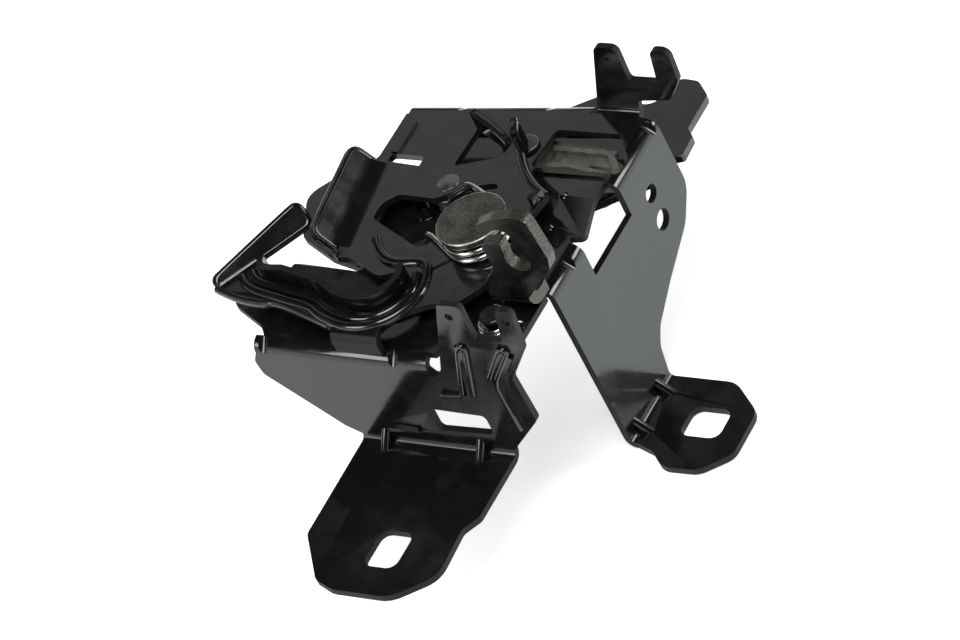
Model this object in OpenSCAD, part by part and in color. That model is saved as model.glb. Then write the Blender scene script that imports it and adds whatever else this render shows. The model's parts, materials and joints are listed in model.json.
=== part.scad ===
// Bonnet latch: a folded base plate and a mouth plate hold a pivoting catch between them.
// The origin is the closed end of the mouth, on the upper face of the base plate.
// X runs along the mouth towards its closed end, Y across it, Z is the plate normal.

/* [Sheet metal] */
// Thickness of the base plate and the mouth plate
sheet_t = 2; // [1.6:0.1:2.4]
// Inside radius of every fold
bend_r = 1.5; // [1:0.1:2]
// Free space between the two plates
plate_gap = 5; // [4.6:0.1:6.5]
// Height of the pressed stiffening beads
bead_h = 0.9; // [0.4:0.1:1]
// Width of the pressed stiffening beads
bead_w = 2.2; // [1.6:0.1:2.6]

/* [Base plate] */
// Distance of the front wall's outer face in front of the origin
front_y = 20; // [19:0.5:22]
// Distance of the right bracket's outer face from the origin
bracket_x = 44; // [43:0.5:47]
// Rear edge of the base plate at its left end
rear_y = 73; // [72:0.5:74]
// Slant of the rear edge in degrees
rear_slant = 4.7; // [3:0.1:6]
// Depth of the folded rear flange
rear_flange_h = 12; // [8:0.5:14]

/* [Front foot] */
// Drop from the base plate's upper face to the foot's upper face
front_drop = 34; // [32:0.5:40]
// Reach of the foot in front of the wall
front_reach = 52; // [46:0.5:58]
// Slot width across the foot
front_slot_w = 10.5; // [8:0.5:13]
// Slot length along the foot
front_slot_l = 12.5; // [9:0.5:15]

/* [Right foot] */
// Drop from the base plate's upper face to the foot's upper face
right_drop = 60; // [58:0.5:66]
// Reach of the foot beside the bracket
right_reach = 32; // [30:0.5:36]
// Slot length along the foot
right_slot_l = 12.5; // [9:0.5:14]
// Slot width across the foot
right_slot_w = 10.5; // [8:0.5:12]
// Diameter of the locating hole in the bracket
locating_d = 6.2; // [5:0.1:7]
// Diameter of the upper hole in the bracket
upper_hole_d = 5.3; // [4:0.1:6]

/* [Cable forks] */
// Cable line's distance from the origin along X
cable_x = 44; // [43:0.5:45]
// Cable line's height above the base plate
cable_z = 16.5; // [15.5:0.5:18]
// Gap between the prongs
fork_gap = 9; // [7:0.5:10]
// Height of the prongs above the cable line
fork_rise = 7; // [5:0.5:9]

/* [Catch] */
// Thickness of the catch
catch_t = 3.5; // [3:0.1:4]
// Pivot's place along X
pivot_x = 19.6; // [19:0.1:20.5]
// Pivot's place along Y
pivot_y = 18.2; // [17.5:0.1:19]
// Diameter of the pivot stud
stud_d = 10; // [9:0.1:11]
// Radial running clearance of the catch on its stud
running_clear = 0.05; // [0.02:0.01:0.09]
// Diameter of the stud's disc head
disc_d = 20; // [18:0.5:22]
// Thickness of the stud's disc head
disc_t = 2; // [1.5:0.1:2.5]
// Diameter of the catch's hub
hub_d = 25; // [22:0.5:26]
// Reach of the catch finger to the left of the origin
finger_reach = 37; // [30:0.5:38]
// Rear edge of the finger behind the origin
finger_y = 7; // [6:0.5:8]
// Height of the cable hook above the base plate
hook_h = 36.5; // [35.5:0.5:38]
// Diameter of the hook's keyhole
keyhole_d = 7.6; // [6.6:0.2:8]

/* [Springs] */
// Wire of the catch spring
catch_wire = 1.8; // [1.4:0.1:2]
// Turns of the catch spring
catch_turns = 2; // [1:1:3]
// Wire of the return spring
return_wire = 1.2; // [0.8:0.1:1.4]
// Outside diameter of the return spring
return_d = 10; // [8:0.5:11]

/* [Safety lever] */
// Pivot's place along X
safety_x = 9.5; // [9:0.1:10]
// Pivot's place along Y
safety_y = 59.5; // [59:0.1:60]
// Diameter of the pivot pin
safety_pin_d = 5; // [4:0.1:5.4]
// Thickness of the lever plate
safety_t = 2.5; // [2:0.1:3]
// Drop from the base plate's upper face to the lever plate's upper face
safety_drop = 17; // [16:0.5:20]
// Thickness of the cast hub's arm
cast_arm_t = 5; // [4:0.5:6]

/* [Hidden] */
$fn = 48;

black = [0.06, 0.06, 0.065];
phosphate = [0.24, 0.23, 0.21];
zinc = [0.72, 0.72, 0.70];
cast_zinc = [0.46, 0.45, 0.41];

bend_out = bend_r + sheet_t;
mouth_low = plate_gap;
mouth_top = plate_gap + sheet_t;
catch_low = (plate_gap - catch_t) / 2;
catch_top = catch_low + catch_t;
coil_pitch = catch_wire * 1.06;
spring_seat = 0.3;
head_low = mouth_top + catch_turns * coil_pitch + catch_wire + 2 * spring_seat;
head_top = head_low + disc_t;
front_floor = -front_y + bend_out;
right_floor = bracket_x - bend_out;
face_clear = 0.4;

// Vector helpers
function unit(v) = v / norm(v);
function turn_left(v) = [-v[1], v[0]];
function rev(list) = [for (i = [len(list) - 1 : -1 : 0]) list[i]];

// Arc points from the tangent point towards a to the one towards c, in the corner b
function corner(a, b, c, r, steps = 6) =
    let (u = unit(a - b), v = unit(c - b))
    let (half = acos(max(-1, min(1, u * v))) / 2)
    r <= 0 || half > 89 ? [b] :
    let (reach = min(r / tan(half), 0.45 * norm(a - b), 0.45 * norm(c - b)))
    let (fit = reach * tan(half))
    let (middle = b + unit(u + v) * fit / sin(half))
    let (from = b + u * reach - middle)
    let (to = b + v * reach - middle)
    let (a0 = atan2(from[1], from[0]), a1 = atan2(to[1], to[0]))
    let (sweep = a1 - a0 > 180 ? a1 - a0 - 360 : a1 - a0 < -180 ? a1 - a0 + 360 : a1 - a0)
    [for (i = [0 : steps]) middle + fit * [cos(a0 + sweep * i / steps), sin(a0 + sweep * i / steps)]];

// Outline with rounded corners, each point given as [x, y, corner radius]
function flat(p) = [p[0], p[1]];
function rounded(points) =
    let (n = len(points))
    [for (i = [0 : n - 1])
        each corner(flat(points[(i + n - 1) % n]), flat(points[i]), flat(points[(i + 1) % n]), points[i][2])];

// Smooth curve through points, with the ends repeated
function curve(points, steps = 6) =
    let (n = len(points))
    [for (i = [0 : n - 2], s = [0 : steps - 1])
        let (t = s / steps)
        let (a = points[max(i - 1, 0)], b = points[i], c = points[i + 1], d = points[min(i + 2, n - 1)])
        0.5 * (2 * b + (c - a) * t + (2 * a - 5 * b + 4 * c - d) * t * t + (3 * b - a - 3 * c + d) * t * t * t),
     points[n - 1]];

// The same curve moved sideways to its right
function beside(path, gap) =
    [for (i = [0 : len(path) - 1])
        path[i] - gap * turn_left(unit(path[min(i + 1, len(path) - 1)] - path[max(i - 1, 0)]))];

// Flat strip between two distances from a path
module strip(path, near, far, height) {
    linear_extrude(height)
        polygon(concat(beside(path, near), rev(beside(path, far))));
}

module slab(points, height) {
    linear_extrude(height)
        polygon(rounded(points));
}

// Rounded rectangle on its middle
module slot(length, width, r, height) {
    slab([[-length / 2, -width / 2, r], [length / 2, -width / 2, r],
          [length / 2, width / 2, r], [-length / 2, width / 2, r]], height);
}

// Quarter fold of sheet round Z, starting at an angle
module fold(length, start, thick = sheet_t) {
    rotate([0, 0, start])
        rotate_extrude(angle = 90)
            translate([bend_r, 0])
                square([thick, length]);
}

// Fold along X, angles turn from Y towards Z
module fold_x(from, to, start, thick = sheet_t) {
    translate([from, 0, 0])
        rotate([90, 0, 90])
            fold(to - from, start, thick);
}

// Fold along Y, angles turn from X towards minus Z
module fold_y(from, to, start) {
    translate([0, from, 0])
        rotate([-90, 0, 0])
            fold(to - from, start);
}

// Plate standing in the XZ plane, its front face at y
module upright_x(y, thick = sheet_t) {
    translate([0, y + thick, 0])
        rotate([90, 0, 0])
            linear_extrude(thick)
                children();
}

// Plate standing in the YZ plane, its outer face at x
module upright_y(x, thick = sheet_t) {
    translate([x - thick, 0, 0])
        rotate([90, 0, 90])
            linear_extrude(thick)
                children();
}

// Wire of round section along points
module wire(path, diameter, sides = 8) {
    n = len(path);
    rings = [for (i = [0 : n - 1])
        let (along = unit(path[min(i + 1, n - 1)] - path[max(i - 1, 0)]))
        let (across = unit(cross(along, abs(along[2]) > 0.9 ? [1, 0, 0] : [0, 0, 1])))
        let (over = cross(across, along))
        [for (k = [0 : sides - 1])
            path[i] + diameter / 2 * (cos(360 * k / sides) * across + sin(360 * k / sides) * over)]];
    walls = [for (i = [0 : n - 2], k = [0 : sides - 1])
        let (next = (k + 1) % sides)
        [i * sides + k, (i + 1) * sides + k, (i + 1) * sides + next, i * sides + next]];
    start = [for (k = [0 : sides - 1]) k];
    finish = [for (k = [sides - 1 : -1 : 0]) (n - 1) * sides + k];
    polyhedron([for (ring = rings) each ring], concat(walls, [start, finish]), convexity = 8);
}

// Base plate: floor, front leg with its foot, right bracket with its foot, rear flange and fork
leg_left = -16.5;
leg_right = 33;
fork_left = 23;
fork_mid_w = fork_gap / 2;
prong_w = 6.5;
fork_bottom = cable_z - 5;
fork_top = cable_z + fork_rise;
bracket_front = 8.5;
bracket_rear = 73;
foot_back = 34.5;
notch_front = 26;
notch_rear = 48.5;
notch_depth = 12;
fork_rear_y = 76;
rear_fork_left = 25;
rear_fork_right = 38.5;
hole_y = 59;
dart_w = 1.3 * sheet_t;
dart_reach = 2.8;
dart_l = dart_reach * sqrt(2);
dent_in = 0.35;
strap_h = 4.5;
floor_right = 43;

rear_left = -35.7;
rear_length = 58;

// Line where the floor turns into the slanted rear fold
function rear_edge(x) = rear_y + (x - rear_left) * tan(rear_slant) - (bend_out + 1) / cos(rear_slant);

module floor_outline() {
    polygon(rounded([
        [-52, -6.5, 3], [-39, -13, 3], [-36, front_floor, 0], [fork_left - 3, front_floor, 0],
        [fork_left - 1, -12, 1], [floor_right, -12, 2], [floor_right, bracket_front - 1, 1],
        [right_floor, bracket_front - 1, 0], [right_floor, bracket_rear, 0],
        [rear_fork_right, fork_rear_y - bend_out + 1, 0], [rear_fork_left, fork_rear_y - bend_out + 1, 0],
        [rear_fork_left - 1, rear_edge(rear_fork_left - 1), 0], [rear_left, rear_edge(rear_left), 0],
        [rear_left, 51, 3], [-45, 43, 4], [-51, 35, 6], [-43.5, 19.5, 4], [-30, 13, 4],
        [-13, 9, 3.5], [-13, 1, 3.5], [-40, 1, 4], [-52, 3, 2]]));
}

module leg_outline() {
    polygon(rounded([
        [-38.5, -bend_out, 0], [-40.5, -7, 2], [-40, -12, 3], [-21, -30, 3], [leg_left, -front_drop + bend_r, 0],
        [leg_right, -front_drop + bend_r, 0], [46, -19, 3], [45.2, -3, 3], [54, 9, 3],
        [cable_x + fork_mid_w + prong_w + 1, fork_top, 3], [cable_x + fork_mid_w + 2.5, fork_top, 2],
        [cable_x + fork_mid_w, fork_bottom, 1.2], [cable_x - fork_mid_w, fork_bottom, 1.2],
        [cable_x - fork_mid_w + 0.5, fork_top, 1.5], [cable_x - fork_mid_w - prong_w, fork_top, 1.5],
        [fork_left, -2, 2], [fork_left - 3, -6, 3], [fork_left - 5, -bend_out, 0]]));
}

module front_leg() {
    upright_x(-front_y)
        difference() {
            leg_outline();
            translate([20.3, -23.3])
                polygon(rounded([[-9, -4, 1.5], [9, -3.4, 1.5], [9, 3.8, 1.5], [-9, 4.4, 1.5]]));
            for (side = [-1, 1])
                translate([cable_x + side * (fork_mid_w + 4.4), fork_top - 4.3])
                    circle(d = 2.4);
        }
    translate([0, front_floor, -bend_out])
        fold_x(-38.5, fork_left - 5, 90);
    translate([0, -front_y - bend_r, -front_drop + bend_r])
        fold_x(leg_left, leg_right, 270);
    // Pressed beads on the leg's outer face
    leg_bead([[33.4, 8.4], [29.6, -9.5], [27, -12], [19.4, -12]]);
    leg_bead([[47, 9], [38.6, -2.4], [38.6, -12]]);
    leg_bead([[48.6, 6.5], [42, -4], [41.6, -17]]);
    leg_bead([[-5.3, -26.6], [4.9, -27.4]]);
}

module leg_bead(points) {
    path = curve(points, 4);
    translate([0, -front_y + 0.2, 0])
        rotate([90, 0, 0])
            strip(path, -bead_w / 2, bead_w / 2, bead_h + 0.2);
}

module front_foot() {
    far = -front_y - front_reach;
    translate([0, 0, -front_drop - sheet_t])
        difference() {
            slab([[leg_left, -front_y - bend_r, 0], [leg_left + 0.5, far + 17, 4], [-5, far + 2.5, 4],
                  [1.5, far, 8], [20, far, 9], [31, far + 9, 8], [30, far + 25, 3],
                  [leg_right, far + 30, 3], [leg_right, -front_y - bend_r, 0]], sheet_t);
            translate([11.5, far + 15.5, -1])
                slot(front_slot_w, front_slot_l, 3, sheet_t + 2);
        }
}

module right_bracket() {
    difference() {
        union() {
            upright_y(bracket_x)
                polygon(rounded([
                    [bracket_front, -bend_out, 0], [bracket_front + 1, -right_drop + bend_r, 0],
                    [foot_back, -right_drop + bend_r, 0], [36, -50, 5], [39.5, -45.5, 6], [51, -39.5, 8],
                    [66, -33, 10], [73.5, -25, 8], [bracket_rear, -bend_out, 0]]));
            translate([right_floor, 0, -bend_out])
                fold_y(bracket_front, bracket_rear, -90);
        }
        upright_hole(hole_y, -14.3, upper_hole_d);
        upright_hole(hole_y - 0.3, -24, locating_d);
    }
    translate([bracket_x + bend_r, 0, -right_drop + bend_r])
        fold_y(bracket_front + 1, foot_back, 90);
}

module upright_hole(y, z, diameter) {
    translate([bracket_x - sheet_t - 1, y, z])
        rotate([0, 90, 0])
            cylinder(d = diameter, h = sheet_t + 2);
}

module right_foot() {
    far = bracket_x + right_reach;
    translate([0, 0, -right_drop - sheet_t])
        difference() {
            slab([[bracket_x + bend_r, bracket_front + 1, 0], [bracket_x + 7.5, 7.4, 2], [bracket_x + 13, 2.4, 6],
                  [far - 8, 2.6, 6], [far, 9.5, 5], [far, 25, 6], [far - 11, 34.4, 8], [bracket_x + bend_r, foot_back, 0]],
                 sheet_t);
            translate([62.6, 19.3, -1])
                slot(right_slot_l, right_slot_w, 3, sheet_t + 2);
        }
}

module rear_flange() {
    translate([rear_left, rear_y, 0])
        rotate([0, 0, rear_slant])
            translate([0.3, -bend_out, -bend_out]) {
                fold_x(0, rear_length, 0);
                translate([0, -2, bend_r])
                    cube([rear_length, 2, sheet_t]);
                translate([0, bend_r, bend_out - rear_flange_h])
                    cube([rear_length, sheet_t, rear_flange_h - bend_out]);
            }
}

module rear_fork() {
    front = fork_rear_y - sheet_t / 2;
    translate([0, front - bend_r, bend_r])
        fold_x(rear_fork_left, rear_fork_right, 270);
    upright_x(front)
        difference() {
            polygon(rounded([
                [rear_fork_left, bend_r, 0], [rear_fork_right, bend_r, 0], [rear_fork_right + 1, 4.5, 1],
                [50, 5.5, 4], [55.6, 13, 3], [cable_x + fork_mid_w + prong_w + 1.4, fork_top + 0.5, 2.4],
                [cable_x + fork_mid_w + 2.2, fork_top + 0.5, 2], [cable_x + fork_mid_w, fork_bottom + 0.5, 1.2],
                [cable_x - fork_mid_w, fork_bottom + 0.5, 1.2], [cable_x - fork_mid_w + 0.4, fork_top + 0.5, 2],
                [cable_x - fork_mid_w - prong_w, fork_top + 0.5, 2]]));
            for (side = [-1, 1])
                translate([cable_x + side * (fork_mid_w + 4), fork_top - 3.5])
                    circle(d = 2);
        }
}

// Pressed dart in the inner corner of a fold, lying across it
module dart(turn) {
    rotate(turn)
        cylinder(d = dart_w, h = dart_l + 1.35 * sheet_t, center = true);
}

// Round tool that presses a dent into the outer corner of a fold
module dent(turn) {
    rotate(turn)
        cylinder(d = dart_w + 1, h = 4 * dart_l, center = true);
}

module foot_darts() {
    half = dart_reach / 2;
    for (x = [leg_left + 8.5, leg_right - 10])
        translate([x, -front_y - half, -front_drop + half])
            dart([-45, 0, 0]);
    for (y = [bracket_front + 6, foot_back - 6])
        translate([bracket_x + half, y, -right_drop + half])
            dart([0, -45, 0]);
}

module fold_dents() {
    for (y = [20, 70.5])
        translate([bracket_x - dent_in, y, -dent_in])
            dent([0, -45, 0]);
    for (x = [-35.5, 7.4])
        translate([x, -front_y + dent_in, -dent_in])
            dent([-45, 0, 0]);
    for (x = [-19, 9])
        translate([x, rear_y + (x - rear_left) * tan(rear_slant) - dent_in, -dent_in])
            dent([45, 0, 0]);
}

// Raised marks on the floor, and the strap bent up beside the rear window
module floor_marks() {
    for (place = [[30, 42.7], [31.7, 31]])
        translate([place[0], place[1], -0.3])
            cylinder(d1 = 3.2, d2 = 1.2, h = 1.1);
    translate([0, 0, -0.2])
        strip([[17, 50.4], [39.5, 50.4]], -0.7, 0.7, bead_h + 0.2);
    // Pressed ring under the mouth plate's window
    translate([-9.9, 33, -0.3]) {
        difference() {
            cylinder(d = 7.2, h = 1.2);
            translate([0, 0, -1])
                cylinder(d = 4.8, h = 4);
        }
        cylinder(d1 = 2.8, d2 = 1.2, h = 1.4);
    }
    translate([0, 0, -sheet_t])
        strip([[-11, 67.2], [-1.4, 62.2], [5.6, 57.8]], -sheet_t / 2, sheet_t / 2, sheet_t + strap_h);
}

module base_plate() color(black) {
    difference() {
        union() {
            translate([0, 0, -sheet_t])
                linear_extrude(sheet_t)
                    difference() {
                        floor_outline();
                        polygon(rounded([[-10, 50.5, 1], [6, 50.5, 1], [-1.5, 65, 1], [-9.5, 65, 1]]));
                        polygon(rounded([[-32, 47.5, 1], [-21, 48.5, 1], [-21, 53, 1], [-32, 53, 1]]));
                    }
            right_bracket();
            front_leg();
            rear_flange();
        }
        fold_dents();
        // Window over the cast hub and notch through the bracket's fold
        translate([0, 0, -sheet_t - 1])
            slab([[14, 52, 2], [bracket_x - 1.5, 52, 1], [bracket_x - 1.5, 58.5, 2], [36, 66.5, 2], [15.5, 66.5, 2]],
                 sheet_t + 2);
        translate([right_floor - 0.5, notch_front, -notch_depth])
            cube([bend_out + 2, notch_rear - notch_front, notch_depth + 1]);
        translate([pivot_x, pivot_y, -sheet_t - 1])
            cylinder(d = stud_d, h = sheet_t + 2);
        translate([rivet_x, rivet_y, -sheet_t - 1])
            cylinder(d = rivet_d, h = sheet_t + 2);
        translate([safety_x, safety_y, -sheet_t - 1])
            cylinder(d = safety_pin_d, h = sheet_t + 2);
        translate([spring_pin_x, spring_pin_y, -sheet_t - 1])
            cylinder(d = spring_pin_d, h = sheet_t + 2);
    }
    front_foot();
    right_foot();
    rear_fork();
    foot_darts();
    floor_marks();
    // Flap of floor that stays beside the notch
    translate([0, 0, -sheet_t])
        slab([[right_floor - 3, notch_front + 1.6, 0], [bracket_x, notch_front + 2.6, 1.5],
              [right_floor - 1.6, notch_rear - 2.2, 0], [right_floor - 3, notch_rear - 3, 0]], sheet_t);
    // Bead beside the rear tab's left edge
    translate([0, 0, -0.1])
        strip(curve([[-31, 53], [-31, 65]], 2), -bead_w / 2, bead_w / 2, bead_h + 0.1);
}

// Mouth plate
mouth_edge = curve([[-45.2, 3.4], [-41.5, -1.4], [-30, -3.9], [-19.2, -6], [-12.6, -9.2], [-5.2, -11],
                    [1.1, -9.7], [4.8, -5.4], [5.9, -1.3], [4.4, 3.2]], 5);
jaw_edge = curve([[4.4, 3.2], [1.2, 4.8], [-2.1, 3.6], [-5.1, 2.5], [-8.6, 3.4], [-14.4, 6.5], [-18.5, 7.7]], 4);
front_edge = curve([[-54.5, -8], [-45.3, -10.6], [-36.9, -11.4], [-32.5, -10.8], [-22, -13.6], [-12, -16.6]], 4);
flange_left = -10;
flange_right = 5;
flange_y = front_y - 0.5;
collar_h = 5.4;
collar_t = 1.8;
collar_rise = 16;
lip_h = 8;
lip_angle = 34;
lip_foot = [-24.5, 9];
lip_head = [-29.5, 44];
horn_h = 6.6;
horn_foot_h = 2.2;
horn_angle = 42;
horn_turn = 58;
horn_foot = [-54.5, -8];
horn_held = 15.5;
horn_free = 18;
horn_line = [cos(horn_turn), sin(horn_turn)];
horn_root = horn_foot + horn_held * horn_line;
horn_tip = horn_root + horn_free * horn_line;
rivet_x = -1.7;
rivet_y = 37.6;
rivet_d = 6.6;
lug_h = 5;
lug_from = [6, 27];
lug_to = [11, 33];
lug_root = 0.6;
tab_h = 7;
bead_first = 1.2;
bead_second = 4.2;
bead_line = 1.9;
jaw_ridge = [[8.4, 7.2], [5.2, 8.8], [0.5, 7.6], [-4.8, 7.4], [-9.5, 10.5], [-13, 15]];
end_inset = 0.6;
lip_sink = 0.25;

module mouth_outline() {
    right_side = rounded([[flange_right, -flange_y + bend_out, 0], [8, -10, 4], [15.5, -5.6, 8], [24, -4, 3],
                          [28.5, 2, 4], [29.5, 27, 4], [31.5, 37, 2], [27, 39.5, 2], [21, 44.5, 4], [16, 51, 2],
                          [13.5, 56, 1], [11, 56, 1], [10, 48.5, 4], [-7.6, 42.4, 10], [lip_head[0], lip_head[1], 0]]);
    closed_end = [for (i = [len(mouth_edge) - 2 : -1 : 0]) mouth_edge[i]];
    polygon(concat(front_edge, [[flange_left, -flange_y + bend_out]], right_side,
                   [lip_foot, [-22, 7.4]], rev(jaw_edge), closed_end, [horn_root]));
}

// Window through which the catch and the spring's leg are seen
module mouth_window() {
    polygon(rounded([[-18.5, 22.5, 2], [-18.5, 28, 4], [-15, 32, 3], [-3, 31.5, 2], [5, 36.5, 2], [14, 39, 2],
                     [15.5, 35, 2], [lug_to[0], lug_to[1], 3], [lug_from[0], lug_from[1], 4],
                     [4, 14.5, 2], [0.5, 13.8, 2]]));
}

// Flared lip along a line of the plate's edge, leaning away from the plate, with round corners
module lip(from, to, height, to_height, lean, low_r) {
    along = to - from;
    length = norm(along) - 2 * end_inset;
    start = from + end_inset * unit(along);
    translate([start[0], start[1], mouth_low + 0.3])
        rotate([0, 0, atan2(along[1], along[0])])
            translate([0, lip_sink, 0])
                rotate([90 + lean, 0, 0])
                    translate([0, 0, -sheet_t])
                        slab([[0, 0, low_r], [length, 0, 0], [length, to_height, 3], [0, height, 3.5]], sheet_t);
}

module mouth_plate() color(black) {
    translate([0, 0, mouth_low])
        linear_extrude(sheet_t)
            difference() {
                mouth_outline();
                mouth_window();
                translate([pivot_x, pivot_y])
                    circle(d = stud_d);
                translate([rivet_x, rivet_y])
                    circle(d = rivet_d);
            }
    // Collar round the mouth's front edge, ending just short of the edge's own ends
    last = len(mouth_edge) - 1;
    collar_line = concat([(mouth_edge[0] + mouth_edge[1]) / 2], [for (i = [1 : last - 1]) mouth_edge[i]],
                         [(mouth_edge[last] + mouth_edge[last - 1]) / 2]);
    difference() {
        translate([0, 0, mouth_low])
            strip(collar_line, 0.2, -collar_t, sheet_t + collar_h);
        // The collar rises from the horn towards the closed end
        translate([horn_root[0] - 4, -20, mouth_top + 0.4])
            rotate([0, -collar_rise, 0])
                cube([40, 40, 20]);
    }
    // Double bead that follows the mouth
    along = [for (i = [4 : last]) mouth_edge[i]];
    side = beside(along, bead_second + bead_line / 2);
    turn = len(side) - 3;
    outer = concat([for (i = [0 : turn - 1]) side[i]], curve(concat([side[turn]], jaw_ridge), 4));
    translate([0, 0, mouth_top - 0.2]) {
        strip(along, bead_first, bead_first + bead_line, bead_h + 0.2);
        strip(outer, -bead_line / 2, bead_line / 2, bead_h + 0.2);
    }
    lip(lip_head, lip_foot, lip_h + sheet_t, lip_h + sheet_t, lip_angle, 0);
    lip(horn_tip, horn_foot, horn_h + sheet_t, horn_foot_h + sheet_t, horn_angle, 3);
    // Front flange that stands on the base plate
    translate([0, -flange_y + bend_out, mouth_top - bend_out])
        fold_x(flange_left, flange_right, 90);
    upright_x(-flange_y)
        polygon([[flange_left, 0.2], [flange_right, 0.2], [flange_right, mouth_top - bend_out],
                 [flange_left, mouth_top - bend_out]]);
    // Tabs bent up at the rear right corner and on the right edge
    translate([14, 53.6, mouth_low])
        rotate([0, 0, 118])
            translate([-3, -sheet_t / 2, 0])
                cube([6.4, sheet_t, sheet_t + tab_h]);
    translate([29.2, 34, mouth_low])
        rotate([0, 0, 70])
            translate([-2, -sheet_t / 2, 0])
                cube([4, sheet_t, sheet_t + 2.5]);
    // Spring lug, bent up along the window's edge beside the disc
    lug_along = lug_to - lug_from;
    translate([lug_from[0], lug_from[1], mouth_low])
        rotate([0, 0, atan2(lug_along[1], lug_along[0])])
            translate([0.5, -lug_root, 0])
                cube([norm(lug_along) - 1, sheet_t, sheet_t + lug_h]);
}

// Rivet that spaces the two plates
module plate_rivet() color(black) {
    translate([rivet_x, rivet_y, 0]) {
        translate([0, 0, -sheet_t])
            cylinder(d = rivet_d, h = mouth_top + sheet_t + 0.3);
        cylinder(d = rivet_d + 4, h = plate_gap);
        translate([0, 0, -sheet_t - 1.6])
            cylinder(d = rivet_d + 3.4, h = 1.6);
    }
}

// Catch: hub, finger across the mouth and cable hook
hook_front = 0.5;
hook_left = 31;
hook_right = 43.5;
keyhole_x = cable_x + 2.2;
keyhole_z = cable_z + 3.7;
hook_rear = hook_front + catch_t;
finger_tip = 6.5;

module catch_outline() {
    polygon(rounded([
        [-finger_reach, finger_y - finger_tip, 3], [-finger_reach, finger_y, 2], [-13, finger_y - 1, 6],
        [-6, 14, 6], [0, 20, 6], [8, 24, 3], [pivot_x, pivot_y, 0], [34, 19, 3],
        [hook_right, 9, 2], [hook_right, hook_rear + bend_r, 0], [hook_left, hook_rear + bend_r, 0],
        [29, 5, 1], [21, 6.5, 3], [10, 4, 6], [0, -4, 5], [-16, -5, 6]]));
}

module hook_outline() {
    foot_z = catch_top + bend_r;
    difference() {
        polygon(rounded([
            [hook_left, foot_z, 0], [37, 16.3, 6], [36.6, 25, 1.2], [40.5, 25.6, 2], [43.4, 26.4, 1.2],
            [42.6, 22.5, 0.8], [keyhole_x, keyhole_z + 1.5, 0], [47.6, 26.5, 1.5], [47.4, 30.6, 2],
            [44.5, 31.4, 2], [37.2, 29.3, 0.8], [38, 32.2, 2], [43.8, hook_h - 1.5, 4], [50.4, hook_h, 4],
            [55, hook_h - 1, 2.5], [56.4, 22, 3], [55.3, 18, 3], [hook_right, foot_z, 0]]));
        translate([keyhole_x, keyhole_z])
            circle(d = keyhole_d);
    }
}

module catch() color(phosphate) {
    difference() {
        union() {
            translate([0, 0, catch_low])
                linear_extrude(catch_t) {
                    catch_outline();
                    translate([pivot_x, pivot_y])
                        circle(d = hub_d);
                }
            translate([0, hook_rear + bend_r, catch_top + bend_r])
                fold_x(hook_left, hook_right, 180, catch_t);
            upright_x(hook_front, catch_t)
                hook_outline();
        }
        translate([pivot_x, pivot_y, catch_low - 1])
            cylinder(d = stud_d + 2 * running_clear, h = catch_t + 2);
        // Ramp that the striker pushes
        translate([-finger_reach - 5, finger_y - 0.6, catch_top])
            rotate([-38, 0, -2.4])
                translate([0, -2, 0])
                    cube([finger_reach - 10, 12, 6]);
        // Hole for the spring's leg
        translate([leg_hole[0], leg_hole[1], catch_low - 1])
            cylinder(d = catch_wire + 0.6, h = catch_t + 2);
    }
}

module catch_pivot() color(phosphate) {
    translate([pivot_x, pivot_y, 0]) {
        translate([0, 0, -sheet_t])
            cylinder(d = stud_d, h = head_low + sheet_t + 0.1);
        translate([0, 0, head_low])
            cylinder(d = disc_d, h = disc_t);
        translate([0, 0, -sheet_t - 1.8])
            cylinder(d = stud_d + 4, h = 1.8);
    }
}

// Springs
coil_r = disc_d / 2 - catch_wire / 2;
leg_hole = [1, 18.5];
coil_steps = 20;

module catch_spring() color(zinc) {
    low = mouth_top + catch_wire / 2 + spring_seat;
    start = 240;
    sweep = 360 * (catch_turns - 1) + 176;
    steps = coil_steps * catch_turns;
    turn = [for (i = [0 : steps])
        [pivot_x + coil_r * cos(start + sweep * i / steps), pivot_y + coil_r * sin(start + sweep * i / steps),
         low + coil_pitch * catch_turns * i / steps]];
    top = turn[len(turn) - 1];
    inner = [[leg_hole[0], leg_hole[1], catch_low + 0.3], [leg_hole[0], leg_hole[1], catch_top],
             [leg_hole[0] + 0.4, leg_hole[1] - 0.2, low - 1], [leg_hole[0] + 3, leg_hole[1] - 0.8, low]];
    outer = [[18, 30.2, low + 1.8], [13, 33.2, low + 0.2], [8.6, 35.6, low + 0.2], [4.9, 36.4, low + 0.5]];
    wire(concat(inner, turn, outer), catch_wire);
}

spring_pin_x = 37;
spring_pin_y = -8;
spring_pin_d = 5;

// Pin on the base plate's front corner that carries the return spring
module spring_pin() color(phosphate) {
    translate([spring_pin_x, spring_pin_y, -sheet_t])
        cylinder(d = spring_pin_d, h = sheet_t + 7);
    translate([spring_pin_x, spring_pin_y, 7])
        cylinder(d = spring_pin_d + 2, h = 1);
    translate([spring_pin_x, spring_pin_y, -sheet_t - 1])
        cylinder(d = spring_pin_d + 2, h = 1);
}

module return_spring() color(zinc) {
    mean = (return_d - return_wire) / 2;
    turns = 4;
    low = return_wire / 2 + 0.3;
    turn = [for (i = [0 : coil_steps * turns])
        [spring_pin_x + mean * cos(90 + 360 * i / coil_steps), spring_pin_y + mean * sin(90 + 360 * i / coil_steps),
         low + return_wire * 1.05 * i / coil_steps]];
    top = turn[len(turn) - 1];
    wire(concat([[spring_pin_x + 5, spring_pin_y + mean, low]], turn,
                [[top[0] - 3, top[1] + 0.6, top[2]]]), return_wire);
}

// Safety lever below the base plate
safety_top = -safety_drop;
hub_r = 7;
washer_t = 0.8;
hub_top = -sheet_t - washer_t;
safety_turns = 3;
hand_rear = 105.5;
hand_gap = bracket_rear + 1.6;
hand_right = bracket_x - sheet_t - 2;

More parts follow.
